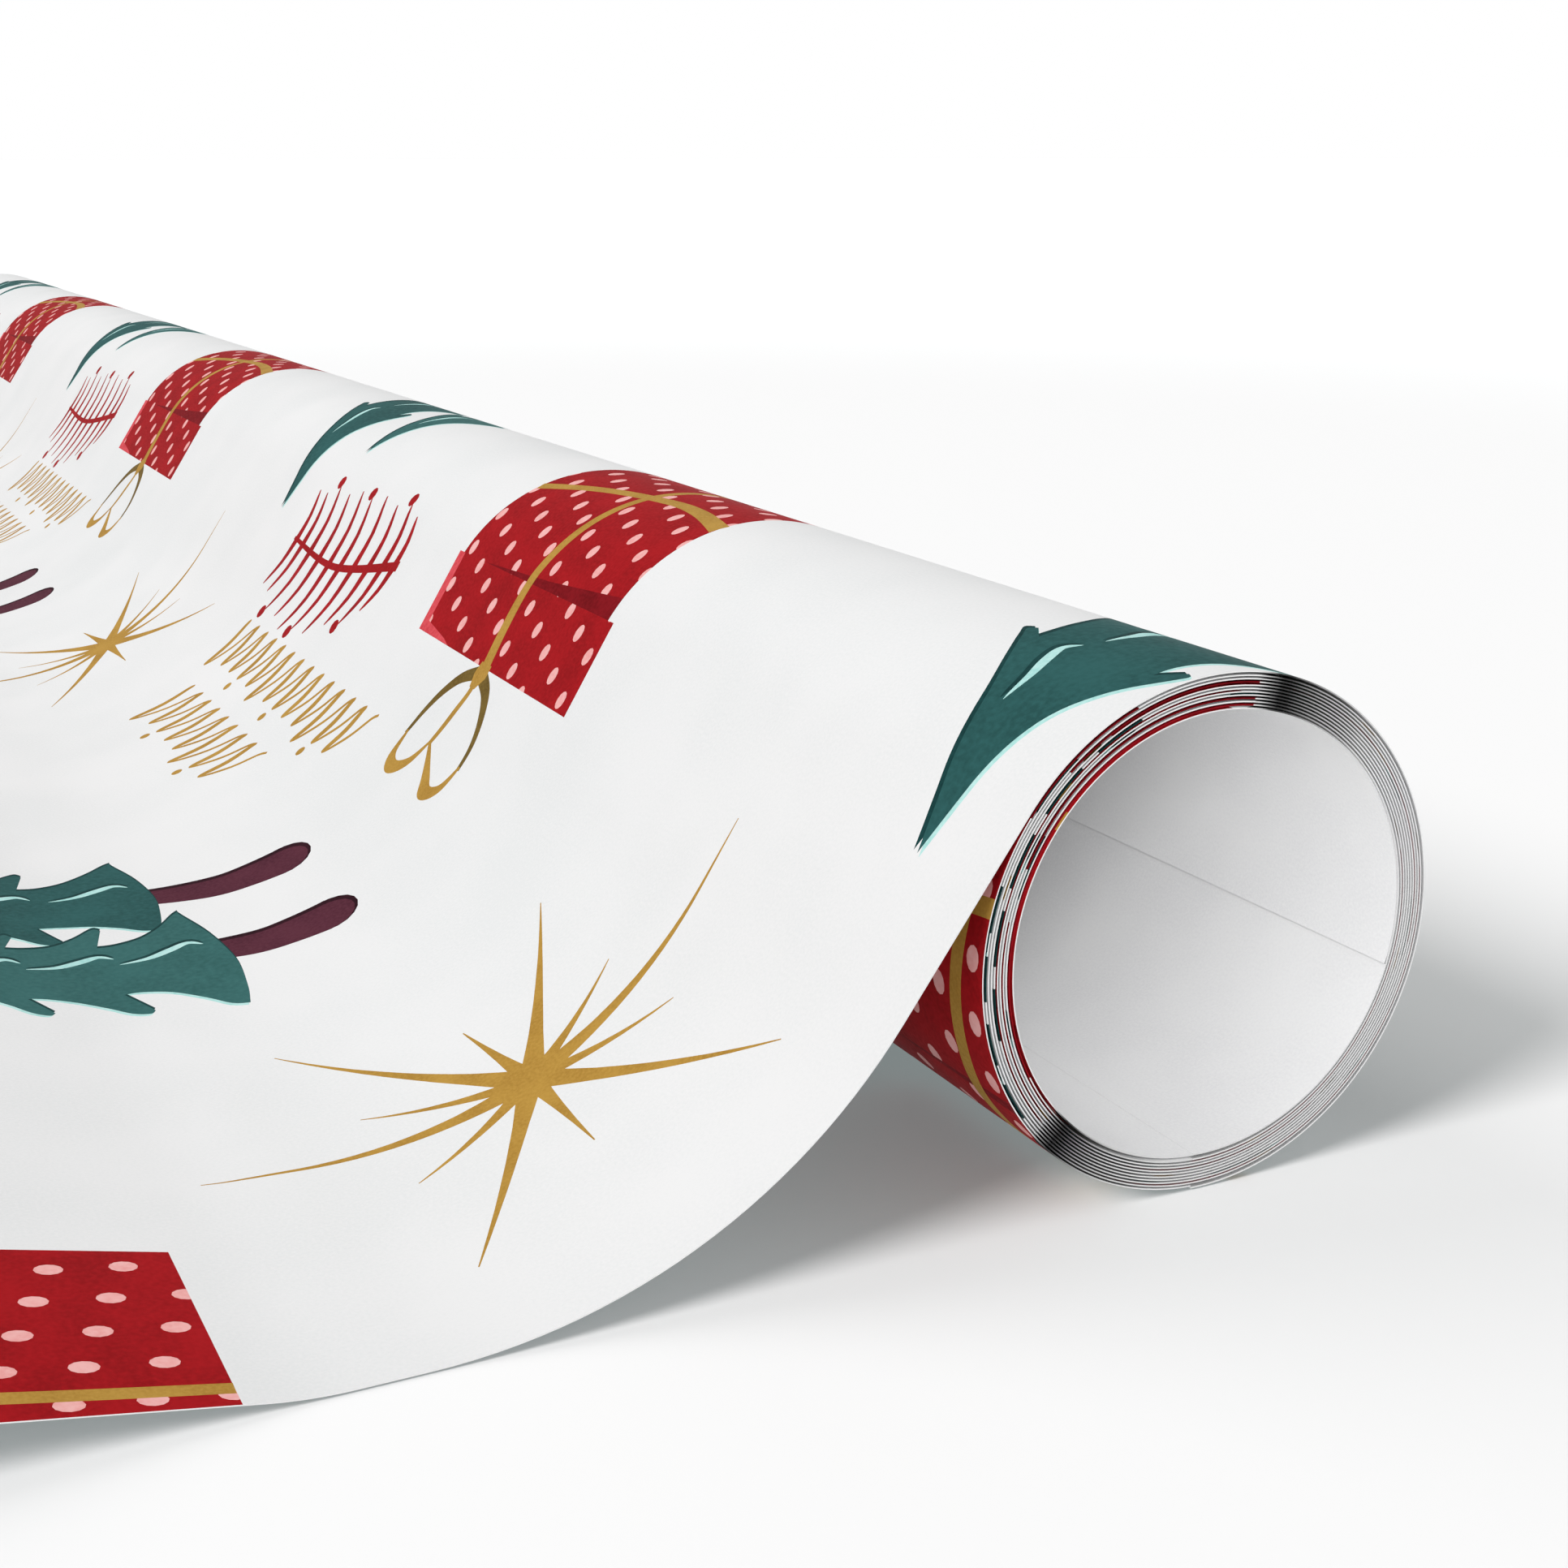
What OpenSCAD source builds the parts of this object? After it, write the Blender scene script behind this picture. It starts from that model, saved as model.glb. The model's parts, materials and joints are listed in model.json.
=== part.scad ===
// Coreless roll of printed gift-wrapping paper, lying on a flat surface, with its
// free end drawn off over the top of the roll and laid down in front of it.
//
// The roll is one web of paper. It is modelled as the lengths of that web that can
// move on their own: the free end, the part flat on the surface, the curve that
// lifts to the roll, the wrap over the top and back, ten turns, and the innermost
// turn. Each length meets the next face to face.
//
// +X runs along the roll, the sheet is drawn off towards -Y, and +Z is up. The
// origin is on the surface, straight below the middle of the roll's axis.
// Angles round the roll are counted from the top towards the back (+Y), which is
// the way the web winds inwards.

/* [Paper] */
// Width of the web, which is the length of the roll
web_w = 762; // [300:1:1020]
// Thickness of the paper
paper_t = 0.12; // [0.08:0.01:0.14]

/* [Roll] */
// Outside radius of the wound roll
roll_r = 25; // [22:0.5:40]
// Distance from one turn to the next, paper and air together
turn_pitch = 0.3; // [0.26:0.01:0.36]
// Whole turns between the outer wrap and the innermost turn
turn_count = 10; // [4:1:14]
// How far the wound turns sit inside the outer wrap, so that they can spin in it
spin_step = 0.2; // [0.18:0.01:0.3]
// Extra step in to the innermost turn, which is a true circle
core_step = 0.18; // [0.16:0.01:0.3]
// Angle of the web's inner end, from the top towards the back
core_end_angle = 106; // [95:1:130]

/* [Drawn sheet] */
// Angle before the top at which the sheet leaves the roll, and its slope there
leave_angle = 54.5; // [45:0.5:65]
// Radius of the bend that lays the sheet down on the surface
foot_bend_r = 53; // [30:1:58]
// Length of sheet that lies flat between the bend and the free end
flat_l = 6; // [4:0.5:60]
// Radius of the bend at which the free end rises from the surface
rise_r = 40; // [20:1:80]
// Slope at which the free end rises
rise_angle = 10.5; // [4:0.5:15]
// Length of the straight slope in the free end
slope_l = 23.5; // [5:0.5:60]
// Radius of the low arch that brings the cut edge back to the surface
arch_r = 90; // [60:1:150]

/* [Hidden] */
function turn_name(k) = str("turn_", k < 10 ? "0" : "", k);

printed_white = "#EFEFEF";
printed_red = "#B01820";
reverse_white = "#DCDCDC";

// The outer wrap ends just past the lowest point, so that its last facet lies flat
// on the surface. Every turn then starts and ends at that same angle.
wrap_facets = 48;
wrap_step = (180 + leave_angle) / (wrap_facets - 0.5);
seam_angle = 180 + wrap_step / 2;
turn_facets = 72;

// The facets' corners are on the wanted radius; the axis stands one flat above z = 0.
wrap_mid_r = roll_r - paper_t / 2;
axis_z = roll_r * cos(wrap_step / 2);
turn_start_r = wrap_mid_r - spin_step;
core_mid_r = turn_start_r - turn_count * turn_pitch - core_step;
// Part of the last turn over which the web steps in to the innermost turn
core_step_span = 40;
// Angle left between the last turn and the innermost one, 0.02 mm at their radius
core_gap_angle = 0.05;

// A station is [point, normal] in the Y-Z plane, on the middle of the paper.
function station(p, a) = [p, [sin(a), cos(a)]];
function on_roll(r, a) = station([r * sin(a), axis_z + r * cos(a)], a);

// Stations along a bend that starts at point p, where the paper's upper side faces
// angle a0, and ends where it faces a1. A positive radius arches over its centre,
// and a negative one sags under it.
function bend(p, r, a0, a1, n) = [
    for (i = [0 : n])
        let (a = a0 + (a1 - a0) * i / n)
        station(p + r * [sin(a) - sin(a0), cos(a) - cos(a0)], a)
];
function last(list) = list[len(list) - 1];
// The point a length l further along the sheet, away from the roll, at facing a
function onward(p, l, a) = p + l * [-cos(a), sin(a)];

// Distance of the web's middle from the axis, at an angle past the seam
function turn_mid_r(past) =
    let (into_step = past - 360 * turn_count + core_step_span)
    turn_start_r - turn_pitch * past / 360
    - core_step * max(0, into_step) / core_step_span;

// The drawn sheet, from the roll outwards
leave = on_roll(wrap_mid_r, -leave_angle);
lift_drop = leave[0][1] - paper_t / 2 - foot_bend_r * (1 - cos(leave_angle));
lift_l = lift_drop / sin(leave_angle);
lift_foot = onward(leave[0], lift_l, -leave_angle);
foot_bend = bend(lift_foot, -foot_bend_r, -leave_angle, 0, 20);
flat_start = last(foot_bend)[0];
flat_end = onward(flat_start, flat_l, 0);
rise_bend = bend(flat_end, -rise_r, 0, rise_angle, 6);
slope_end = onward(last(rise_bend)[0], slope_l, rise_angle);
arch_top_z = slope_end[1] + arch_r * (1 - cos(rise_angle));
fall_angle = acos(1 - (arch_top_z - paper_t / 2) / arch_r);
arch = bend(slope_end, arch_r, rise_angle, -fall_angle, 16);

// One length of the web: the paper's section along its stations, drawn out along X
module web(stations, face) {
    n = len(stations);
    outline = concat(
        [for (s = stations) s[0] + s[1] * paper_t / 2],
        [for (i = [n - 1 : -1 : 0]) stations[i][0] - stations[i][1] * paper_t / 2]
    );
    color(face)
        rotate([90, 0, 90])
        linear_extrude(height = web_w, center = true)
        polygon(outline);
}

module free_end() {
    web(concat(rise_bend, arch), printed_white);
}

module floor_sheet() {
    web([station(flat_start, 0), station(flat_end, 0)], printed_white);
}

module lift_curve() {
    web(concat([leave], foot_bend), printed_white);
}

module outer_wrap() {
    web(
        [for (i = [0 : wrap_facets]) on_roll(wrap_mid_r, -leave_angle + i * wrap_step)],
        printed_white
    );
}

// Whole turn number k, counted from the outside
module wound_turn(k) {
    web(
        [
            for (i = [0 : turn_facets])
                let (past = 360 * (k - 1 + i / turn_facets))
                on_roll(turn_mid_r(past), seam_angle + past)
        ],
        k == 1 ? printed_red : printed_white
    );
}

// The innermost turn, whose inside is the roll's true round bore
module inner_turn() {
    start_angle = seam_angle + core_gap_angle;
    span = core_end_angle + 360 - start_angle;
    color(reverse_white)
        translate([-web_w / 2, 0, axis_z])
        rotate([90 - start_angle, 0, 0])
        rotate([90, 0, 90])
        rotate(-span)
        rotate_extrude(angle = span, $fn = 144)
        translate([core_mid_r - paper_t / 2, 0])
        square([paper_t, web_w]);
}

free_end();
floor_sheet();
lift_curve();
outer_wrap();
for (k = [1 : turn_count]) {
    wound_turn(k);
}
inner_turn();
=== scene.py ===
import json
import math
from bisect import bisect_right
from collections import namedtuple

import bpy
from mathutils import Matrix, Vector
from mathutils.geometry import delaunay_2d_cdt


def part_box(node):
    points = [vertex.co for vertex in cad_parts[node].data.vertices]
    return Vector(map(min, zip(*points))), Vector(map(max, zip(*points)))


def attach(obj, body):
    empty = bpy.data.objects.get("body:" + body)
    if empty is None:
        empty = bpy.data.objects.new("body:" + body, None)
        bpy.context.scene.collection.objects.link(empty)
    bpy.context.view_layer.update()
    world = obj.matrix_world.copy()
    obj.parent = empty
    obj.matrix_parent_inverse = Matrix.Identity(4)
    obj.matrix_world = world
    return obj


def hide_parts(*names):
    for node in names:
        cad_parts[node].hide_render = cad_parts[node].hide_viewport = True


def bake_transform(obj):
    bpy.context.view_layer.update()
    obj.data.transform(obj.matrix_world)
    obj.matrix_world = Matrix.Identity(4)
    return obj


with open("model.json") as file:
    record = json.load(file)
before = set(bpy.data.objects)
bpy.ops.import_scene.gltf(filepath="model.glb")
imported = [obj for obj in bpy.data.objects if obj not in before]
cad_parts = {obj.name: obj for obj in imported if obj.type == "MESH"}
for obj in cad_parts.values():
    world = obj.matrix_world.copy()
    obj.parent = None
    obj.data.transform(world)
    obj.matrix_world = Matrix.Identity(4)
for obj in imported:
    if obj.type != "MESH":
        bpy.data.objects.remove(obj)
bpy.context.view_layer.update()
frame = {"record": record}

# A coreless roll of printed gift-wrapping paper, lying on its side, with its free end
# drawn off over the top. The paper is one web. Each piece here is a length of that
# web: a closed mesh 0.12 mm thick, printed on the face that is outermost on the roll.
#
# The web is worked out flat, in millimetres: x runs along the roll, and s runs along
# the web from the line where it leaves the roll, positive towards the free end and
# negative onto the roll and round its turns. The print is drawn on the flat web, cut
# into triangles along its outlines, and only then laid on the web's path.

MM = 0.001

# ---------------------------------------------------------------- sizes from the frame
half_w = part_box("outer_wrap")[1].x / MM
bore = next(m for m in frame["record"]["mounts"] if m["name"] == "core_bore")
axis_z = bore["pos_m"][2] / MM
core_r = bore["dims"]["r_mm"]

# Sizes that the CAD gives the web, in millimetres and degrees
paper_t = 0.12
leave_angle = 54.5
seam_angle = 182.468
turn_count = 10
turn_pitch = 0.3
spin_step = 0.2
core_step = 0.18
core_step_span = 40
core_end_angle = 106
foot_bend_r = 53
flat_l = 6
rise_r = 40
rise_angle = 10.5
slope_l = 23.5
arch_r = 90

wrap_r = axis_z - paper_t / 2
turn_start_r = axis_z - spin_step - paper_t / 2
core_mid_r = core_r + paper_t / 2


# ------------------------------------------------------------------- the web's path
# A station is (s, y, z, a): the distance along the web, the place of the paper's
# middle, and the angle in radians that its printed face turns from straight up
# towards the back.
def moved(station, length, turn):
    """The station a length further along an arc over which the face turns by turn."""
    s, y, z, a = station
    b = a + turn
    if abs(turn) < 1e-9:
        return (s + length, y - length * math.cos(a), z + length * math.sin(a), a)
    r = length / turn
    y_end = y - r * (math.sin(b) - math.sin(a))
    z_end = z - r * (math.cos(b) - math.cos(a))
    return (s + length, y_end, z_end, b)


def add_bend(path, radius, degrees, step=2.0):
    """Adds an arc, turning the face towards the back where degrees is positive."""
    turn = math.radians(degrees)
    steps = max(1, round(abs(degrees) / step))
    for _ in range(steps):
        path.append(moved(path[-1], radius * abs(turn) / steps, turn / steps))


def add_straight(path, length, steps=1):
    for _ in range(steps):
        path.append(moved(path[-1], length / steps, 0.0))


def on_roll(s, r, degrees):
    a = math.radians(degrees)
    return (s, r * math.sin(a), axis_z + r * math.cos(a), a)


def wrap_and_sheet():
    """Path of the web from the seam over the roll, down, and out to its free end."""
    wrap_l = wrap_r * math.radians(seam_angle + leave_angle)
    path = [on_roll(-wrap_l, wrap_r, seam_angle)]
    add_bend(path, wrap_r, -seam_angle - leave_angle)
    leave_z = path[-1][2]
    drop = leave_z - paper_t / 2 - foot_bend_r * (1 - math.cos(math.radians(leave_angle)))
    add_straight(path, drop / math.sin(math.radians(leave_angle)), 8)
    add_bend(path, foot_bend_r, leave_angle)
    add_straight(path, flat_l / 2)
    middle = len(path) - 1
    add_straight(path, flat_l / 2)
    add_bend(path, rise_r, rise_angle)
    add_straight(path, slope_l, 8)
    top_z = path[-1][2] + arch_r * (1 - math.cos(math.radians(rise_angle)))
    fall = math.degrees(math.acos(1 - (top_z - paper_t / 2) / arch_r))
    add_bend(path, arch_r, -rise_angle - fall, 1.5)
    return path[: middle + 1], path[middle:]


def turn_r(past):
    """Distance of the paper's middle from the axis, at an angle past the seam."""
    into_step = max(0, past - 360 * turn_count + core_step_span)
    return turn_start_r - turn_pitch * past / 360 - core_step * into_step / core_step_span


def wound_turns(s):
    """Paths of the turns, from the outermost in, and of the innermost turn."""
    paths = []
    step = 2.5
    for k in range(turn_count):
        stations = []
        for i in range(round(360 / step) + 1):
            past = 360 * k + i * step
            if i:
                s -= turn_r(past - step / 2) * math.radians(step)
            stations.append(on_roll(s, turn_r(past), seam_angle + past))
        paths.append(stations[::-1])
    span = core_end_angle + 360 - seam_angle
    steps = round(span / step)
    core_l = core_mid_r * math.radians(span)
    paths.append([
        on_roll(s - core_l * i / steps, core_mid_r, seam_angle + span * i / steps)
        for i in range(steps, -1, -1)
    ])
    return paths


def place(path, s):
    """The station at a distance s, on the arc between the two stations round it."""
    i = min(max(bisect_right(path, (s,)) - 1, 0), len(path) - 2)
    here, after = path[i], path[i + 1]
    length = after[0] - here[0]
    share = (s - here[0]) / length
    turn = (after[3] - here[3] + math.pi) % (2 * math.pi) - math.pi
    part = moved(here, share * length, share * turn)
    whole = moved(here, length, turn)
    y = part[1] + share * (after[1] - whole[1])
    z = part[2] + share * (after[2] - whole[2])
    return (s, y, z, part[3])


# ------------------------------------------------------------- outlines for the print
# Every motif is drawn in millimetres, u to its right and v up it, and its own
# upright points along the web towards the free end.
Shape = namedtuple("Shape", "ink outline")


def ellipse(u, v, ru, rv, corners=12):
    turns = [2 * math.pi * i / corners for i in range(corners)]
    return [(u + ru * math.cos(t), v + rv * math.sin(t)) for t in turns]


def smooth(points, steps=6):
    """Points on the smooth line through points, with its ends kept."""
    ends = [points[0]] + list(points) + [points[-1]]
    line = []
    for a, b, c, d in zip(ends, ends[1:], ends[2:], ends[3:]):
        for i in range(steps):
            t = i / steps
            line.append(tuple(
                0.5 * (
                    2 * q + (r - p) * t + (2 * p - 5 * q + 4 * r - w) * t ** 2
                    + (3 * q - p - 3 * r + w) * t ** 3
                )
                for p, q, r, w in zip(a, b, c, d)
            ))
    return line + [points[-1]]


def stroke(line, width):
    """Outline of a brush stroke along line. width(t) is its width at a share t of it."""
    left, right = [], []
    last = len(line) - 1
    for i, (u, v) in enumerate(line):
        before, after = line[max(i - 1, 0)], line[min(i + 1, last)]
        along = math.hypot(after[0] - before[0], after[1] - before[1])
        side_u = (before[1] - after[1]) / along
        side_v = (after[0] - before[0]) / along
        half = width(i / last) / 2
        left.append((u + side_u * half, v + side_v * half))
        right.append((u - side_u * half, v - side_v * half))
    return left + right[::-1]


def tapered(widest, least=0.12, power=1.0):
    """A stroke's width that swells to widest in its middle."""
    return lambda t: least + (widest - least) * math.sin(math.pi * t) ** power


def narrowing(first, last=0.1, power=1.0):
    """A stroke's width that goes from first down to last."""
    return lambda t: last + (first - last) * (1 - t) ** power


def inside(outline, border):
    """The part of an outline inside a convex border that is drawn anticlockwise."""
    for a, b in zip(border, border[1:] + border[:1]):
        kept = []
        for p, q in zip(outline, outline[1:] + outline[:1]):
            p_side = (b[0] - a[0]) * (p[1] - a[1]) - (b[1] - a[1]) * (p[0] - a[0])
            q_side = (b[0] - a[0]) * (q[1] - a[1]) - (b[1] - a[1]) * (q[0] - a[0])
            if p_side >= 0:
                kept.append(p)
            if p_side * q_side < 0:
                share = p_side / (p_side - q_side)
                kept.append((p[0] + share * (q[0] - p[0]), p[1] + share * (q[1] - p[1])))
        outline = kept
    return outline


def rectangle(u0, v0, u1, v1):
    return [(u0, v0), (u1, v0), (u1, v1), (u0, v1)]


# --------------------------------------------------------------------------- motifs
def steps_across(values, first, step):
    """The numbers i for which first + step * i lies across the span of values."""
    return range(
        math.floor((min(values) - first) / step), math.ceil((max(values) - first) / step) + 1
    )


def dots_on(border):
    """Pink dots in slanting columns, cut off at a border."""
    column_w, row_h, slant = 5.9, 6.25, 2.1
    first_u, first_v = 3.2, 1.5
    half_dot_u, half_dot_v = 1.0, 1.25
    dots = []
    for i in steps_across([u for u, _ in border], first_u, column_w):
        u = first_u + column_w * i
        column_v = first_v - slant * i
        for j in steps_across([v for _, v in border], column_v, row_h):
            dot = ellipse(u, column_v + row_h * j, half_dot_u, half_dot_v)
            outline = inside(dot, border)
            if len(outline) > 2:
                dots.append(Shape("pink", outline))
    return dots


def bow_loop(side, inner_u):
    """One loop of the bow, to the right of the knot where side is 1."""
    outer = smooth([(0.4, 14.3), (4.9, 16.2), (8.2, 19.4), (10.2, 23.0), (11.0, 26.6)])
    tip = smooth([(10.9, 26.0), (10.0, 29.9), (7.2, 31.4), (4.0, 29.6), (inner_u, 25.8)])
    inner = smooth([(inner_u, 26.0), (0.45 * inner_u + 0.2, 21.0), (0.2, 17.5), (0.2, 14.6)])
    strokes = (
        ("bronze", outer, narrowing(2.3, 0.9, 1.2)),
        ("gold", inner, narrowing(0.7, 0.9)),
        ("gold", tip, tapered(2.3, 0.6, 1.3)),
    )
    return [
        Shape(ink, stroke([(side * u, v) for u, v in line], width))
        for ink, line, width in strokes
    ]


def gift():
    """A gift box with a lid, a crossed ribbon and a bow. Its ribbon stands near u = 0."""
    body = [(-27.0, -40.4), (23.4, -40.4), (29.0, 0.6), (-25.9, 0.6)]
    lid = [(-27.7, 0.6), (30.7, 0.6), (28.4, 13.4), (-29.7, 13.6)]
    shapes = [Shape("red", body)] + dots_on(body)
    # The lid's shadow is a wedge that deepens towards the left.
    lid_shadow = [(20.0, 0.6), (-25.9, 0.6), (-26.0, -2.7), (-15.0, -1.7), (-3.5, -0.7)]
    shapes.append(Shape("dark_red", lid_shadow))
    shapes.append(Shape("red", lid))
    shapes += dots_on(lid)
    lit_side = [(30.7, 0.6), (28.4, 13.4), (15.5, 13.4), (18.0, 12.8), (26.6, 11.7), (28.5, 0.6)]
    shapes.append(Shape("coral", lit_side))
    across = smooth([(27.0, -14.0), (10.5, -18.0), (-6.0, -20.3), (-16.0, -20.0), (-26.4, -17.9)])
    shapes.append(Shape("gold", stroke(across, lambda t: 1.6 + 1.1 * t ** 2)))
    upright = smooth([
        (-1.8, -40.4), (-0.9, -23.0), (0.8, -6.5), (2.0, 1.0), (1.2, 7.5), (-0.5, 13.8),
    ])
    shapes.append(Shape("gold", stroke(upright, lambda t: 1.7 + 0.8 * t)))
    shapes += bow_loop(1, 2.2) + bow_loop(-1, -1.8)
    knot = [(-2.0, 12.8), (1.6, 12.8), (1.9, 14.6), (0.9, 16.6), (-0.9, 16.6), (-2.3, 14.6)]
    shapes.append(Shape("gold", knot))
    return shapes


def star():
    """A starburst of twelve straight rays that narrow to their tips."""
    rays = (
        (2.8, -34.0), (-6.5, -15.5), (-25.8, -18.7), (-16.3, -0.3), (-26.3, 15.5), (-8.2, 15.2),
        (1.9, 33.5), (8.6, 16.0), (29.3, 19.6), (16.4, 1.8), (28.6, -14.4), (8.4, -14.4),
    )
    centre_r = 3.3
    shares_out = (0, 0.12, 0.25, 0.45, 0.7, 1.0)
    shapes = [Shape("gold", ellipse(0, 0, centre_r, centre_r))]
    for u, v in rays:
        root_w = 3.1 if math.hypot(u, v) > 20 else 2.7
        line = [(u * t, v * t) for t in shares_out]
        shapes.append(Shape("gold", stroke(line, narrowing(root_w, 0.14, 1.15))))
    return shapes


def moved_by(outline, du, dv):
    return [(u + du, v + dv) for u, v in outline]


def tree_side(side, halves, pitch, height, axis, droop):
    """A fir's edge on one side from its tip down: each tier flares out to a drooping hook."""
    # Shares of the way out and of the way up a tier, from its root down
    top_flare = (
        (0.0, 1.0), (0.08, 0.86), (0.17, 0.71), (0.31, 0.5), (0.45, 0.35), (0.67, 0.2), (0.9, 0.07),
    )
    flare = ((0.0, 1.0), (0.0, 0.82), (0.16, 0.55), (0.52, 0.30), (0.88, 0.12))
    line = []
    root = 0.0
    for k in range(len(halves) - 1, -1, -1):
        low = pitch * k
        top = k == len(halves) - 1
        rise = height - low if top else pitch + 1.2
        tier = [
            (axis(low + up * rise) + side * (root + out * (halves[k] - root)), low + up * rise)
            for out, up in (top_flare if top else flare)
        ]
        tip_u = axis(low) + side * halves[k]
        tier.append((tip_u, low + 0.4 - droop))
        if k:
            tier.append((tip_u - side * 0.9, low - 0.3 - droop))
        line += smooth(tier, 4)
        # The notch under a tier gets shallower towards the top.
        root = (0.52 + 0.025 * k ** 2) * halves[k]
    return line


def tree(halves, pitch, height, lean, ink, trunk_u, trunk_v):
    """A fir of swept tiers. halves are their half-widths from the base at v = 0 up."""

    def axis(v):
        return lean * v / height

    right = tree_side(1, halves, pitch, height, axis, 0.0)
    left = tree_side(-1, halves, pitch, height, axis, 0.8)
    base = smooth([
        right[-1], (halves[0] - 1.6, 0.3), (0.4 * halves[0], -1.4), (-0.2 * halves[0], -2.2),
        (-0.7 * halves[0], -1.4), left[-1],
    ])
    foliage = right + base[1:-1] + left[::-1]
    # The trunk leans out to the left and gets wider down to its round end.
    trunk = smooth([(-3.0, 0.0), (-2.3, 4.0), (-1.6, 8.4), (0.2, 13.4), (2.0, 19.0)])
    trunk = moved_by(trunk, trunk_u, trunk_v)
    shapes = [
        Shape("dark_plum", ellipse(*trunk[0], 4.6, 4.0, 18)),
        Shape("dark_plum", stroke(trunk, narrowing(9.2, 5.8, 0.8))),
        Shape("plum", ellipse(trunk[0][0] - 0.5, trunk[0][1] + 0.2, 4.0, 3.6, 18)),
        Shape("plum", moved_by(stroke(trunk, narrowing(8.1, 4.8, 0.8)), -0.5, 0.2)),
    ]
    # A light line shows along the left edges and a dark one along the right.
    shapes.append(Shape("cyan", moved_by(foliage, -1.3, 0.4)))
    shapes.append(Shape("dark_teal", foliage))
    shapes.append(Shape(ink, moved_by(foliage, -0.75, 0.1)))
    # Each tier has one long light brush stroke with a dark one along its right.
    for k, half in enumerate(halves):
        low = pitch * k + 0.2
        line = smooth([
            (axis(low) + 0.20 * half, low), (axis(low) + 0.29 * half, low + 1.6),
            (axis(low) + 0.22 * half, low + 4.0), (axis(low) + 0.12 * half, low + 7.0),
            (axis(low) + 0.08 * half, low + 10.5),
        ])
        shapes.append(Shape("dark_teal", stroke(moved_by(line, 0.6, -0.1), tapered(1.8, 0.1))))
        shapes.append(Shape("cyan", stroke(line, tapered(1.3, 0.06))))
    return shapes


def shifted(shapes, du, dv):
    """The same shapes moved by (du, dv)."""
    return [Shape(ink, moved_by(outline, du, dv)) for ink, outline in shapes]


def garland(u0, v0, u1, waves, height):
    """A gold garland: a slanting wave of thin rising and broad falling strokes, with berries."""
    pitch = (u1 - u0) / waves
    slant = 0.45
    shapes = []
    for i in range(waves):
        tall = height * (1.4 if i % 5 == 2 else 1.0)
        low = (u0 + pitch * i, v0 - height)
        high = (u0 + pitch * (i + 0.5) + slant * (tall + height), v0 + tall)
        after = (u0 + pitch * (i + 1), v0 - height)
        for start, end, widest in ((low, high, 0.75), (high, after, 1.5)):
            rise, run = end[1] - start[1], end[0] - start[0]
            line = smooth([
                start, (start[0] + 0.18 * run + 0.05 * pitch, start[1] + 0.12 * rise),
                (start[0] + 0.5 * run, start[1] + 0.5 * rise),
                (end[0] - 0.18 * run + 0.05 * pitch, end[1] - 0.12 * rise), end,
            ], 3)
            shapes.append(Shape("gold", stroke(line, tapered(widest, 0.45, 0.8))))
        if i % 4 == 1:
            shapes.append(Shape("gold", ellipse(high[0] + 0.6, high[1] + 1.9, 0.9, 0.9, 10)))
    return shapes


def pine_sprig(u0, v0, u1, v1, needles):
    """A red sprig: a bowed stem with long needles either side, and berries."""
    bow = 3.0
    stem = smooth([(u0, v0), ((u0 + u1) / 2, (v0 + v1) / 2 + bow), (u1, v1)], 10)
    shapes = [Shape("red", stroke(stem, narrowing(1.8, 0.7)))]
    for i in range(needles):
        t = (i + 0.5) / needles
        u, v = stem[round(t * (len(stem) - 1))]
        for side in (-1, 1):
            length = 12.5 * (0.62 + 0.38 * math.sin(math.pi * t)) + (1.0 if i % 2 else 0.0)
            bend = (u + 0.06 * length, v + side * 0.5 * length)
            tip_u = u + 0.34 * length
            tip_v = v + side * length
            needle = smooth([(u, v), bend, (tip_u, tip_v)], 3)
            shapes.append(Shape("red", stroke(needle, narrowing(2.3, 0.4, 0.8))))
            if i % 3 == 1:
                shapes.append(Shape("red", ellipse(tip_u + 1.0, tip_v + side * 0.8, 1.3, 1.3, 10)))
    return shapes


def cell():
    """All motifs of one repeat, with the gift's ribbon near u = 0 and its lid near v = 0."""
    tall_tree = tree(
        halves=(15.3, 15.5, 14.5, 12.6), pitch=12.6, height=65.0, lean=-4.0, ink="deep_teal",
        trunk_u=-4.0, trunk_v=-19.0,
    )
    short_tree = tree(
        halves=(18.1, 16.2, 15.0, 10.5), pitch=10.8, height=53.7, lean=2.6, ink="teal",
        trunk_u=0.4, trunk_v=-14.5,
    )
    shapes = gift()
    shapes += shifted(tall_tree, 11.9, 69.5)
    shapes += shifted(short_tree, -16.2, 65.5)
    shapes += garland(u0=23.0, v0=31.5, u1=98.0, waves=13, height=4.6)
    shapes += garland(u0=45.0, v0=46.5, u1=94.0, waves=8, height=5.0)
    shapes += pine_sprig(u0=50.0, v0=7.0, u1=103.0, v1=11.0, needles=10)
    shapes += shifted(star(), 35.4, -79.8)
    return shapes


# The pattern repeats along and across the web, and every other row is half a repeat on.
repeat_x, repeat_s = 229.0, 254.0
half_drop = (117.0, 127.0)
pattern_x = half_w - 121.5
motif_cell = cell()
# No motif of a cell reaches further than this from the cell's origin.
cell_reach = 150.0


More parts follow.
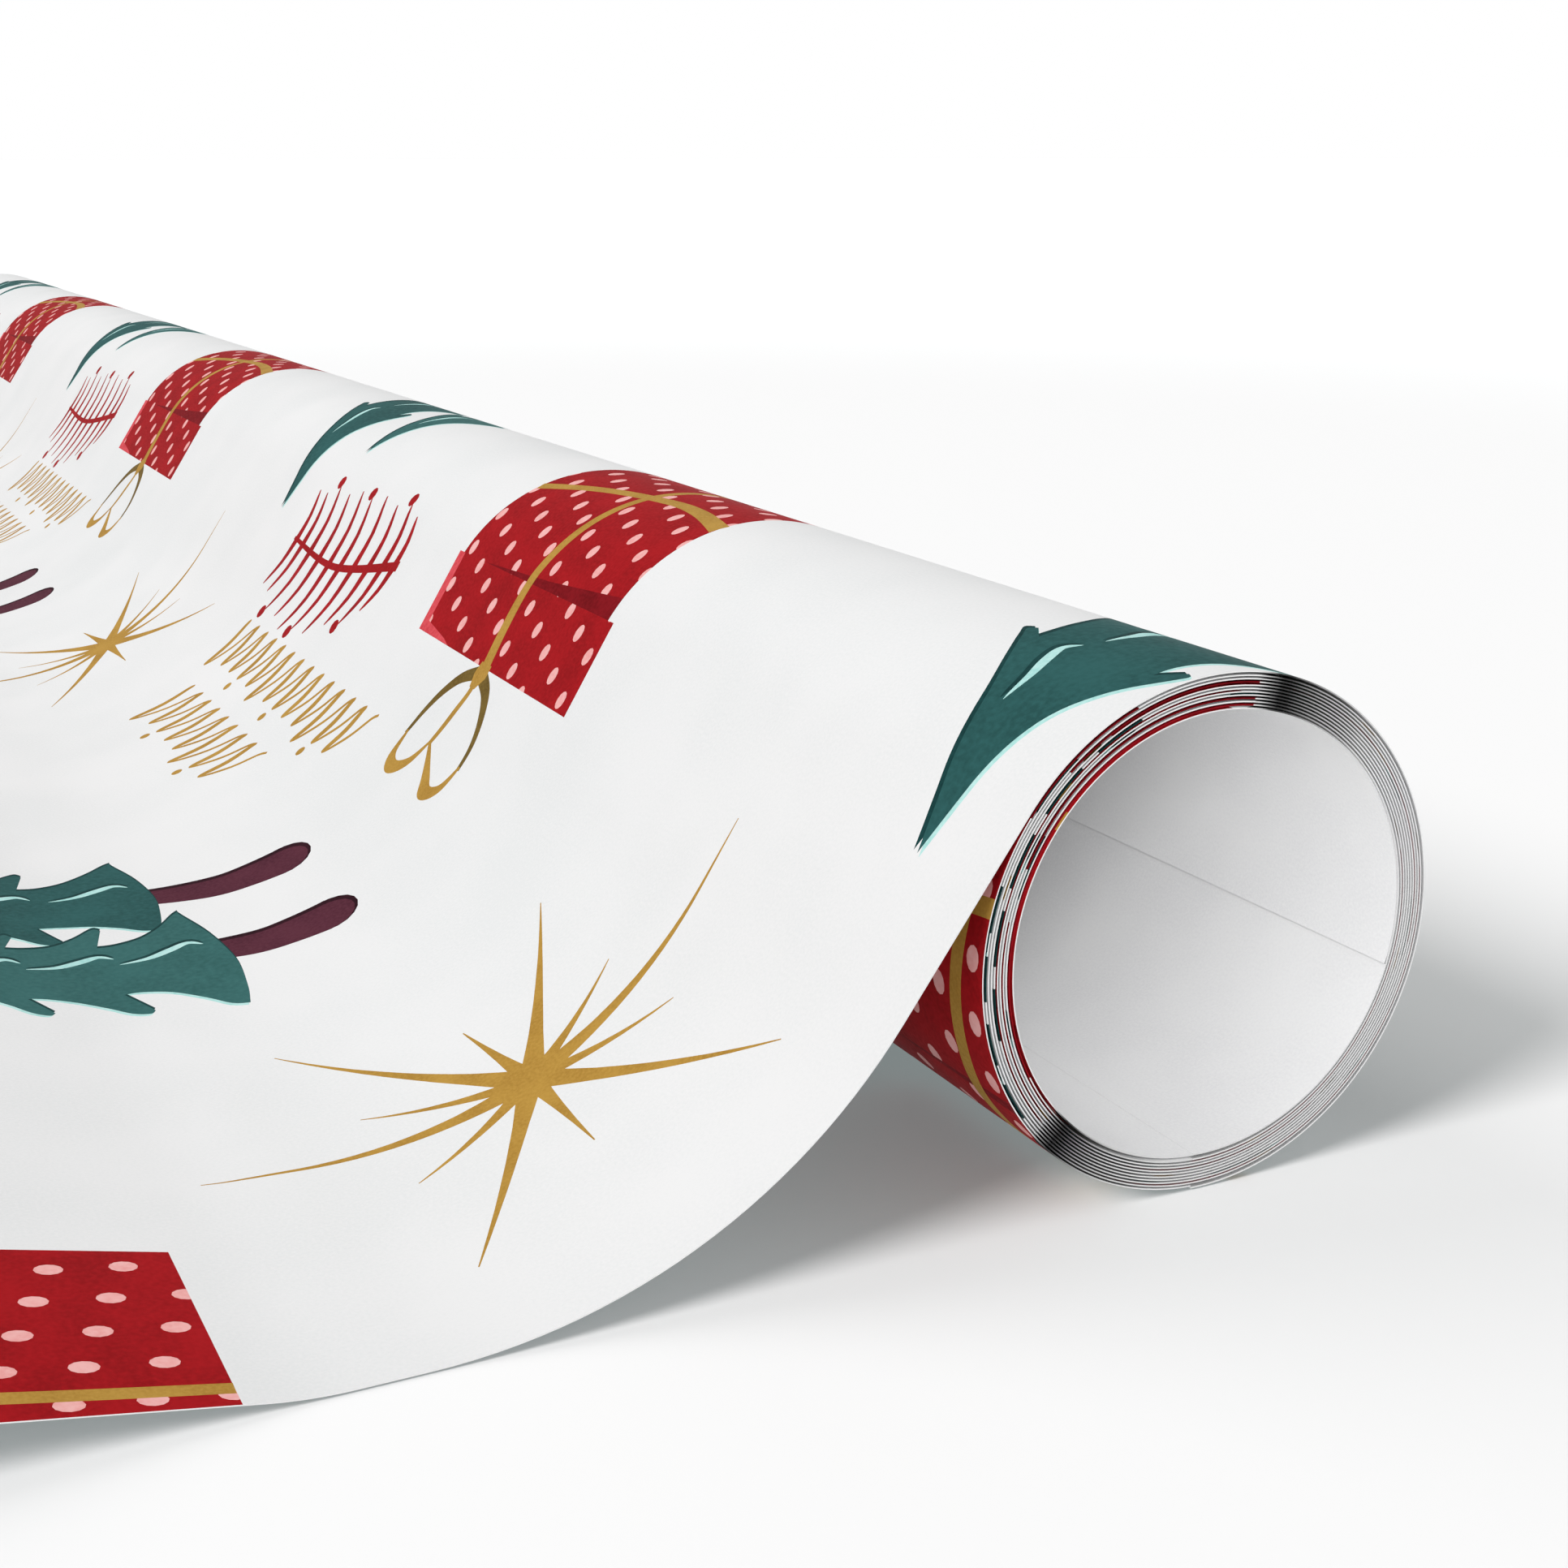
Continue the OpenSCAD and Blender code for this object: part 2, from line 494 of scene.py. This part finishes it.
def print_on(x_lo, x_hi, s_lo, s_hi):
    """The shapes of the print that reach into a rectangle of the web, cut to it."""
    border = rectangle(x_lo, s_lo, x_hi, s_hi)
    found = []
    for dx, ds in ((0.0, 0.0), half_drop):
        for i in steps_across((x_lo - cell_reach, x_hi + cell_reach), pattern_x + dx, repeat_x):
            for j in steps_across((s_lo - cell_reach, s_hi + cell_reach), ds, repeat_s):
                x0 = pattern_x + dx + repeat_x * i
                s0 = ds + repeat_s * j
                for ink, outline in motif_cell:
                    laid = [(x0 - u, s0 + v) for u, v in outline]
                    xs = [p[0] for p in laid]
                    ss = [p[1] for p in laid]
                    if max(xs) > x_lo and min(xs) < x_hi and max(ss) > s_lo and min(ss) < s_hi:
                        found.append(Shape(ink, inside(laid, border)))
    return [shape for shape in found if len(shape.outline) > 2]


# ------------------------------------------------------------------------ materials
def linear(hex_colour):
    """A material's colour from the usual six hexadecimal digits."""
    shares = [int(hex_colour[i : i + 2], 16) / 255 for i in (0, 2, 4)]
    return tuple(
        c / 12.92 if c <= 0.04045 else ((c + 0.055) / 1.055) ** 2.4 for c in shares
    ) + (1.0,)


def add_node(node_tree, kind, **values):
    node = node_tree.nodes.new(kind)
    for name, value in values.items():
        setattr(node, name, value)
    return node


def paper_material(name, colour, other, grain_mm, patch_mm, roughness, relief=0.12):
    """Matt paper or ink. Its colour wanders between colour and other at two scales."""
    roughness_spread = 0.08
    material = bpy.data.materials.new(name)
    material.use_nodes = True
    nodes = material.node_tree
    shader = nodes.nodes["Principled BSDF"]
    where = add_node(nodes, "ShaderNodeUVMap", uv_map="web")
    grain = add_node(nodes, "ShaderNodeTexNoise")
    grain.inputs["Scale"].default_value = 1 / (grain_mm * MM)
    grain.inputs["Detail"].default_value = 3.0
    patch = add_node(nodes, "ShaderNodeTexNoise")
    patch.inputs["Scale"].default_value = 1 / (patch_mm * MM)
    patch.inputs["Detail"].default_value = 2.0
    both = add_node(nodes, "ShaderNodeMath", operation="MULTIPLY")
    spread = add_node(nodes, "ShaderNodeMapRange")
    spread.inputs["From Min"].default_value = 0.15
    spread.inputs["From Max"].default_value = 0.38
    mix = add_node(nodes, "ShaderNodeMix", data_type="RGBA")
    mix.inputs["A"].default_value = linear(colour)
    mix.inputs["B"].default_value = linear(other)
    gloss = add_node(nodes, "ShaderNodeMapRange")
    gloss.inputs["To Min"].default_value = roughness - roughness_spread
    gloss.inputs["To Max"].default_value = roughness + roughness_spread
    bump = add_node(nodes, "ShaderNodeBump")
    bump.inputs["Strength"].default_value = relief
    bump.inputs["Distance"].default_value = 0.02 * MM
    link = nodes.links.new
    link(where.outputs["UV"], grain.inputs["Vector"])
    link(where.outputs["UV"], patch.inputs["Vector"])
    link(grain.outputs["Fac"], both.inputs[0])
    link(patch.outputs["Fac"], both.inputs[1])
    link(both.outputs["Value"], spread.inputs["Value"])
    link(spread.outputs["Result"], mix.inputs["Factor"])
    link(mix.outputs["Result"], shader.inputs["Base Color"])
    link(grain.outputs["Fac"], gloss.inputs["Value"])
    link(gloss.outputs["Result"], shader.inputs["Roughness"])
    link(grain.outputs["Fac"], bump.inputs["Height"])
    link(bump.outputs["Normal"], shader.inputs["Normal"])
    shader.inputs["Specular IOR Level"].default_value = 0.02
    return material


def darken_with_painted_shade(material):
    """Paints shade into a material: blackens it as far as the mesh's painted shade attribute says.
    """
    nodes = material.node_tree
    base = nodes.nodes["Principled BSDF"].inputs["Base Color"]
    amount = add_node(nodes, "ShaderNodeAttribute", attribute_name="painted_shade")
    mix = add_node(nodes, "ShaderNodeMix", data_type="RGBA")
    # The colour of the painted shade
    mix.inputs["B"].default_value = linear("141414")
    nodes.links.new(amount.outputs["Fac"], mix.inputs["Factor"])
    nodes.links.new(base.links[0].from_socket, mix.inputs["A"])
    nodes.links.new(mix.outputs["Result"], base)


materials = {
    "paper": paper_material("paper_face", "ECECEC", "E6E7E7", 0.35, 24.0, 0.58),
    "reverse": paper_material("paper_reverse", "F0F0F0", "E8E8E9", 0.30, 18.0, 0.70, 0.2),
    "edge": paper_material("paper_cut_edge", "F8F8F8", "EFEFEF", 0.15, 3.0, 0.75, 0.2),
    # A grey copy of the cut edge paper, for the turns beside the bore: painted shade.
    "inner_edge": paper_material("paper_inner_cut_edge_painted_shade", "C8C8C8", "BEBEBE", 0.15, 3.0, 0.75, 0.2),
    "red": paper_material("ink_red", "A9161D", "921218", 0.55, 7.0, 0.46),
    "dark_red": paper_material("ink_dark_red", "85101A", "6F0A12", 0.55, 5.0, 0.46),
    "pink": paper_material("ink_pink", "F3B9B6", "EDA5A2", 0.60, 3.0, 0.48),
    "coral": paper_material("ink_coral", "DE545C", "CC4049", 0.70, 5.0, 0.46),
    "gold": paper_material("ink_gold", "BC9344", "AA8138", 0.40, 5.0, 0.42),
    "bronze": paper_material("ink_bronze", "7B6430", "624D22", 0.40, 5.0, 0.42),
    "teal": paper_material("ink_teal", "3B6C6A", "33605E", 0.80, 12.0, 0.46),
    "deep_teal": paper_material("ink_deep_teal", "305F5E", "285150", 0.80, 12.0, 0.46),
    "dark_teal": paper_material("ink_dark_teal", "1C4444", "153737", 0.60, 6.0, 0.46),
    "cyan": paper_material("ink_cyan", "BFE8E4", "A2D8D3", 0.60, 5.0, 0.48),
    "plum": paper_material("ink_plum", "5C2D3B", "4F2432", 0.50, 6.0, 0.46),
    "dark_plum": paper_material("ink_dark_plum", "34141F", "2A0F18", 0.50, 6.0, 0.46),
    # Darker copies of the red and teal print: print in the gaps with painted shade.
    "run_red": paper_material("ink_gap_shade_red", "7E0F18", "690A11", 0.40, 3.0, 0.50),
    "run_teal": paper_material("ink_gap_shade_teal", "173A3A", "112C2C", 0.40, 3.0, 0.50),
    # Black for the painted shade on the roll's near end
    "black": paper_material("painted_shade_black", "1B1B1B", "111111", 0.40, 3.0, 0.50),
}
# The cut edges take painted shade: black smudges on the near end, and a grey shadow line at the
# web's inner end.
darken_with_painted_shade(materials["edge"])
darken_with_painted_shade(materials["inner_edge"])


# ---------------------------------------------------------------------- paper meshes
# Painted shade: the roll's near end is blackened at two angles, in degrees, standing in
# for shading on the cut ends. Each mark is at its blackest there, and reaches so many degrees
# before and after it.
painted_shade_spans = ((14.0, 7.0, 42.0), (-134.0, 34.0, 8.0))
painted_shade_depth = 1.6
most_black = 0.95
# The web's inner end shows as a thin grey line along the bore: a painted shadow of the step there.
inner_end_painted_shadow = 0.7
inner_end_degrees = 0.1


def painted_shade(x, y, z):
    """How dark the painted shade on the cut edge is at a point, from 0 to 1."""
    r = math.hypot(y, z - axis_z)
    angle = math.degrees(math.atan2(y, z - axis_z))
    on_inner_turn = r < core_r + 2 * paper_t
    # The painted shadow line at the web's inner end
    if on_inner_turn and abs(angle - core_end_angle) < inner_end_degrees:
        return inner_end_painted_shadow
    at_near_end = x > half_w - 1
    in_roll = r < axis_z + 1
    black = 0.0
    # Painted shade: black smudges on the near end's cut edges at the two angles.
    if at_near_end and in_roll:
        for blackest, before, after in painted_shade_spans:
            past = angle - blackest
            share = max(0.0, 1 - past / after if past > 0 else 1 + past / before)
            black = max(black, min(most_black, 1.1 * share ** 1.8))
    return black


def nearest_to(path, degrees):
    """The station on a turn that is nearest to an angle round the roll."""
    angle = math.radians(degrees)
    return min(path, key=lambda station: abs(math.sin((station[3] - angle) / 2)))


# Dark copies of the red and teal print along the gaps on the near end, on the side towards
# the sheet: print that shows in the gaps, with painted shade in it. The turn's number from 0
# inwards, the ink, the angles it lies between, and its dashes
gap_inks = (
    (0, "run_red", -56, -22, 1),
    (1, "run_teal", -126, -66, 4),
    (2, "run_red", -42, 15, 1),
    (4, "run_teal", -104, -18, 5),
    (7, "run_red", -66, 17, 1),
    (9, "run_red", -118, 16, 1),
)
# How far such an ink reaches in on the print, and how much of its pitch each dash fills
gap_ink_w = 0.8
dash_share = 0.72
# These inks paint the same shade on the cut edges beside them too.
gap_shade_edge_inks = ("run_red", "run_teal")


def gap_ink_shapes(path, turn):
    """Narrow dashes of darkened ink along the near edge of a turn's print: print with painted shade
    in the gaps.
    """
    shapes = []
    for number, ink, first, last, dashes in gap_inks:
        if number != turn:
            continue
        pitch = (last - first) / dashes
        dash = pitch * (dash_share if dashes > 1 else 1.0)
        for i in range(dashes):
            start = first + pitch * i
            s_lo = nearest_to(path, start + dash)[0]
            s_hi = nearest_to(path, start)[0]
            shapes.append(Shape(ink, rectangle(half_w - gap_ink_w, s_lo, half_w, s_hi)))
    return shapes


def painted_shade_shapes(path):
    """The same painted shade, in black, where it falls on a turn's print inside the near end."""
    after_share = 0.7
    shapes = []
    for blackest, before, after in painted_shade_spans:
        s = nearest_to(path, blackest)[0]
        outline = [
            (half_w, s - core_r * math.radians(after_share * after)),
            (half_w, s + core_r * math.radians(before)),
            (half_w - painted_shade_depth, s),
        ]
        shapes.append(Shape("black", outline))
    return shapes


def flat_triangles(path, shapes):
    """Cuts a flat length of web along its stations and the print's outlines.

    Gives the points (x, s), the triangles, and each triangle's ink."""
    s_lo, s_hi = path[0][0], path[-1][0]
    panels = 16
    weld, slack = 1e-4, 1e-3
    points, lines = [], []
    for station in path:
        lines.append((len(points), len(points) + 1))
        points += [(-half_w, station[0]), (half_w, station[0])]
    for i in range(panels + 1):
        x = -half_w + 2 * half_w * i / panels
        lines.append((len(points), len(points) + 1))
        points += [(x, s_lo), (x, s_hi)]
    faces = []
    for _, outline in shapes:
        area = sum(a[0] * b[1] - b[0] * a[1] for a, b in zip(outline, outline[1:] + outline[:1]))
        ring = list(range(len(points), len(points) + len(outline)))
        faces.append(ring if area > 0 else ring[::-1])
        points += outline
    flat = delaunay_2d_cdt([Vector(p) for p in points], lines, faces, 0, weld)
    corners = [tuple(p) for p in flat[0]]
    triangles, inks = [], []
    for triangle, drawn in zip(flat[2], flat[5]):
        x = sum(corners[i][0] for i in triangle) / len(triangle)
        s = sum(corners[i][1] for i in triangle) / len(triangle)
        if abs(x) < half_w + slack and s_lo - slack < s < s_hi + slack:
            triangles.append(triangle)
            inks.append(shapes[max(drawn)].ink if drawn else "paper")
    return corners, triangles, inks


def paper_piece(name, path, shapes, edge="edge", edge_shade_inks=()):
    """One length of web as a closed mesh, with its print, laid along its path.

    edge is the material of its cut edges, except where an ink of painted gap shade comes to them."""
    flat, triangles, inks = flat_triangles(path, shapes)
    count = len(flat)
    stations = [place(path, s) for _, s in flat]
    vertices = []
    for side in (1, -1):
        for (x, _), (_, y, z, a) in zip(flat, stations):
            off = side * paper_t / 2
            vertices.append((x * MM, (y + off * math.sin(a)) * MM, (z + off * math.cos(a)) * MM))
    ink_beside = {}
    for triangle, ink in zip(triangles, inks):
        for a, b in zip(triangle, triangle[1:] + triangle[:1]):
            ink_beside[(a, b)] = ink
    rims = [side for side in ink_beside if side[::-1] not in ink_beside]
    # Cut edges beside an ink of painted gap shade take that ink's shade.
    rim_inks = [ink_beside[side] if ink_beside[side] in edge_shade_inks else edge for side in rims]
    # x and s run so that a triangle that turns left on the flat web faces inwards.
    faces = [triangle[::-1] for triangle in triangles]
    faces += [[i + count for i in triangle] for triangle in triangles]
    faces += [[a, b, b + count, a + count] for a, b in rims]
    slots = inks + ["reverse"] * len(triangles) + rim_inks

    mesh = bpy.data.meshes.new(name)
    mesh.from_pydata(vertices, [], faces)
    slot_names = sorted(set(slots))
    for slot_name in slot_names:
        mesh.materials.append(materials[slot_name])
    mesh.polygons.foreach_set("material_index", [slot_names.index(s) for s in slots])
    mesh.polygons.foreach_set("use_smooth", [True] * len(faces))
    # Each point's painted shade, which darkens the cut edges.
    painted_shades = mesh.attributes.new("painted_shade", "FLOAT", "POINT")
    for point, (x, y, z) in zip(painted_shades.data, vertices):
        point.value = painted_shade(x / MM, y / MM, z / MM)
    web = mesh.uv_layers.new(name="web")
    normals = []
    rim_start = 2 * len(triangles)
    for face in mesh.polygons:
        for loop, corner in zip(face.loop_indices, face.vertices):
            x, s = flat[corner % count]
            web.data[loop].uv = (x * MM, s * MM)
            a = stations[corner % count][3]
            side = 1 if face.index < len(triangles) else -1
            normals.append((0.0, side * math.sin(a), side * math.cos(a)))
        if face.index >= rim_start:
            normals[-len(face.vertices):] = [tuple(face.normal)] * len(face.vertices)
    mesh.normals_split_custom_set(normals)
    piece = bpy.data.objects.new(name, mesh)
    bpy.context.scene.collection.objects.link(piece)
    return piece


wrap_path, end_path = wrap_and_sheet()

wrap_sheet = paper_piece(
    "wrap_and_drawn_sheet", wrap_path, print_on(-half_w, half_w, wrap_path[0][0], wrap_path[-1][0])
)
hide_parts("outer_wrap", "lift_curve", "floor_sheet")
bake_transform(wrap_sheet)

end_sheet = paper_piece(
    "free_end_sheet", end_path, print_on(-half_w, half_w, end_path[0][0], end_path[-1][0])
)
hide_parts("free_end")
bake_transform(end_sheet)

# Inside the roll the print shows only near the ends, in the gaps between the turns.
band_w = 15.0
# On the two innermost turns a gift box is brought round to the side seen past the sheet.
gift_angle = 290
gift_middle_s = half_drop[1] - 13.4


def print_shift(path):
    """How far the print is moved along a turn to bring a gift box to gift_angle."""
    return gift_middle_s - nearest_to(path, gift_angle)[0]


turn_pieces = []
turn_paths = wound_turns(wrap_path[0][0])
for k, path in enumerate(turn_paths):
    s_lo, s_hi = path[0][0], path[-1][0]
    beside_bore = k > turn_count - 2
    shift = print_shift(path) if beside_bore else 0.0
    if k == 0:
        printed = print_on(-half_w, half_w, s_lo, s_hi)
    else:
        printed = print_on(-half_w, band_w - half_w, s_lo + shift, s_hi + shift)
        printed += print_on(half_w - band_w, half_w, s_lo + shift, s_hi + shift)
        printed = shifted(printed, 0.0, -shift)
    border = rectangle(-half_w, s_lo, half_w, s_hi)
    # Painted shade laid on the print: dark dashes in the gaps and black marks at the near end.
    shade_marks = gap_ink_shapes(path, k) + painted_shade_shapes(path)
    printed += [Shape(ink, inside(outline, border)) for ink, outline in shade_marks]
    innermost = k == turn_count
    node = "inner_turn" if innermost else f"turn_{k + 1:02d}"
    # The cut edges beside the bore take the grey copy of the edge paper: painted shade.
    edge = "inner_edge" if beside_bore else "edge"
    piece = paper_piece(node + "_paper", path, printed, edge, gap_shade_edge_inks)
    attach(piece, "wound_roll" if k == 0 else node)
    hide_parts(node)
    turn_pieces.append(piece)


# ------------------------------------------------------------------- floor and lights
near_end = Vector((half_w * MM, 0, axis_z * MM))


def floor_material():
    """A pale surface lit a little from within, so that its deepest shadows stay open."""
    material = bpy.data.materials.new("studio_floor")
    material.use_nodes = True
    nodes = material.node_tree
    shader = nodes.nodes["Principled BSDF"]
    # A warm surface with a cool glow is neutral where it is lit, and offsets the red
    # light that the print throws into the shadow under the sheet.
    shader.inputs["Base Color"].default_value = (0.555, 0.54, 0.54, 1)
    shader.inputs["Roughness"].default_value = 0.9
    shader.inputs["Specular IOR Level"].default_value = 0.1
    shader.inputs["Emission Color"].default_value = (0.85, 1, 1, 1)
    # Further from the roll it glows more, until it is as white as the surround.
    near_distance, far_distance = 0.40, 1.0
    near_glow, far_glow = 0.145, 0.26
    where = add_node(nodes, "ShaderNodeNewGeometry")
    distance = add_node(nodes, "ShaderNodeVectorMath", operation="LENGTH")
    glow = add_node(nodes, "ShaderNodeMapRange", interpolation_type="SMOOTHSTEP")
    glow.inputs["From Min"].default_value = near_distance
    glow.inputs["From Max"].default_value = far_distance
    glow.inputs["To Min"].default_value = near_glow
    glow.inputs["To Max"].default_value = far_glow
    nodes.links.new(where.outputs["Position"], distance.inputs[0])
    nodes.links.new(distance.outputs["Value"], glow.inputs["Value"])
    nodes.links.new(glow.outputs["Result"], shader.inputs["Emission Strength"])
    return material


def floor():
    """A wide plane, just under the paper so that the two never lie in one place."""
    half = 30.0
    gap = 0.0002
    mesh = bpy.data.meshes.new("studio_floor")
    corners = [(-half, -half, 0), (half, -half, 0), (half, half, 0), (-half, half, 0)]
    mesh.from_pydata(corners, [], [(0, 1, 2, 3)])
    mesh.materials.append(floor_material())
    plane = bpy.data.objects.new("studio_floor", mesh)
    plane.location.z = -gap
    bpy.context.scene.collection.objects.link(plane)
    return plane


def lamp(kind, name, start, along, energy, lit=None):
    """A lamp that shines along a direction. It lights only the pieces in lit, if any."""
    data = bpy.data.lights.new(name, kind)
    data.energy = energy
    lamp_object = bpy.data.objects.new(name, data)
    lamp_object.location = start
    lamp_object.rotation_euler = Vector(along).to_track_quat("-Z", "Y").to_euler()
    lamp_object.visible_camera = False
    bpy.context.scene.collection.objects.link(lamp_object)
    if lit:
        receivers = bpy.data.collections.new(name + "_receivers")
        for piece in lit:
            receivers.objects.link(piece)
        lamp_object.light_linking.receiver_collection = receivers
    return data


def lights(plane):
    """Two soft suns for the floor, one for the paper, and lamps for the cut edges and bore."""
    sheets = [wrap_sheet, end_sheet]
    turns, bore_turns = turn_pieces[:-2], turn_pieces[-2:]
    overhead = (0, 0, 1)
    key = lamp("SUN", "key", overhead, (-0.23, 1.0, -0.69), 4.5, [plane])
    key.angle = math.radians(23)
    back_key = lamp("SUN", "back_key", overhead, (0.8, 0.6, -0.80), 1.36, [plane])
    back_key.angle = math.radians(50)
    # On the paper the key comes from nearer overhead, so that the slopes are even.
    paper_key = lamp("SUN", "paper_key", overhead, (-0.1, 0.45, -0.9), 1.9, sheets + turns)
    paper_key.angle = math.radians(28)
    # A light straight along the roll falls on nothing but the paper's cut edges.
    edge_light = lamp("SUN", "edge_light", (1, 0, 0), (-1, 0, 0), 0.8, sheets + turns)
    edge_light.angle = math.radians(2)
    start = near_end + Vector((0.10, -0.06, 0.055))
    bore_lamp = lamp("SPOT", "bore_lamp", start, near_end - start, 0.64, bore_turns)
    bore_lamp.shadow_soft_size = 0.03
    bore_lamp.spot_size = math.radians(70)
    bore_lamp.spot_blend = 1.0


def studio_world():
    """A soft white surround, brighter where the camera looks straight at it."""
    world = bpy.data.worlds.new("studio")
    world.use_nodes = True
    nodes = world.node_tree
    background = nodes.nodes["Background"]
    background.inputs["Color"].default_value = (1, 1, 1, 1)
    background.inputs["Strength"].default_value = 0.45
    seen = add_node(nodes, "ShaderNodeBackground")
    seen.inputs["Color"].default_value = (1, 1, 1, 1)
    seen.inputs["Strength"].default_value = 1.0
    path = add_node(nodes, "ShaderNodeLightPath")
    mix = add_node(nodes, "ShaderNodeMixShader")
    nodes.links.new(path.outputs["Is Camera Ray"], mix.inputs[0])
    nodes.links.new(background.outputs[0], mix.inputs[1])
    nodes.links.new(seen.outputs[0], mix.inputs[2])
    nodes.links.new(mix.outputs[0], nodes.nodes["World Output"].inputs["Surface"])
    bpy.context.scene.world = world


lights(floor())
studio_world()


# --------------------------------------------------------------------------- camera
def camera():
    """The camera, which looks down past the roll's near end and along the roll."""
    from_near_end = Vector((0.15638, -0.12158, 0.06933))
    data = bpy.data.cameras.new("camera")
    data.lens = 51.44
    data.sensor_width = 36.0
    data.clip_start = 0.01
    data.clip_end = 100.0
    pan, tilt = math.radians(153.608), math.radians(-15.728)
    looking = Vector((
        math.cos(tilt) * math.cos(pan), math.cos(tilt) * math.sin(pan), math.sin(tilt),
    ))
    seen_from = bpy.data.objects.new("camera", data)
    seen_from.location = near_end + from_near_end
    seen_from.rotation_euler = looking.to_track_quat("-Z", "Y").to_euler()
    bpy.context.scene.collection.objects.link(seen_from)
    bpy.context.scene.camera = seen_from


camera()
bpy.context.scene.view_settings.view_transform = "Standard"
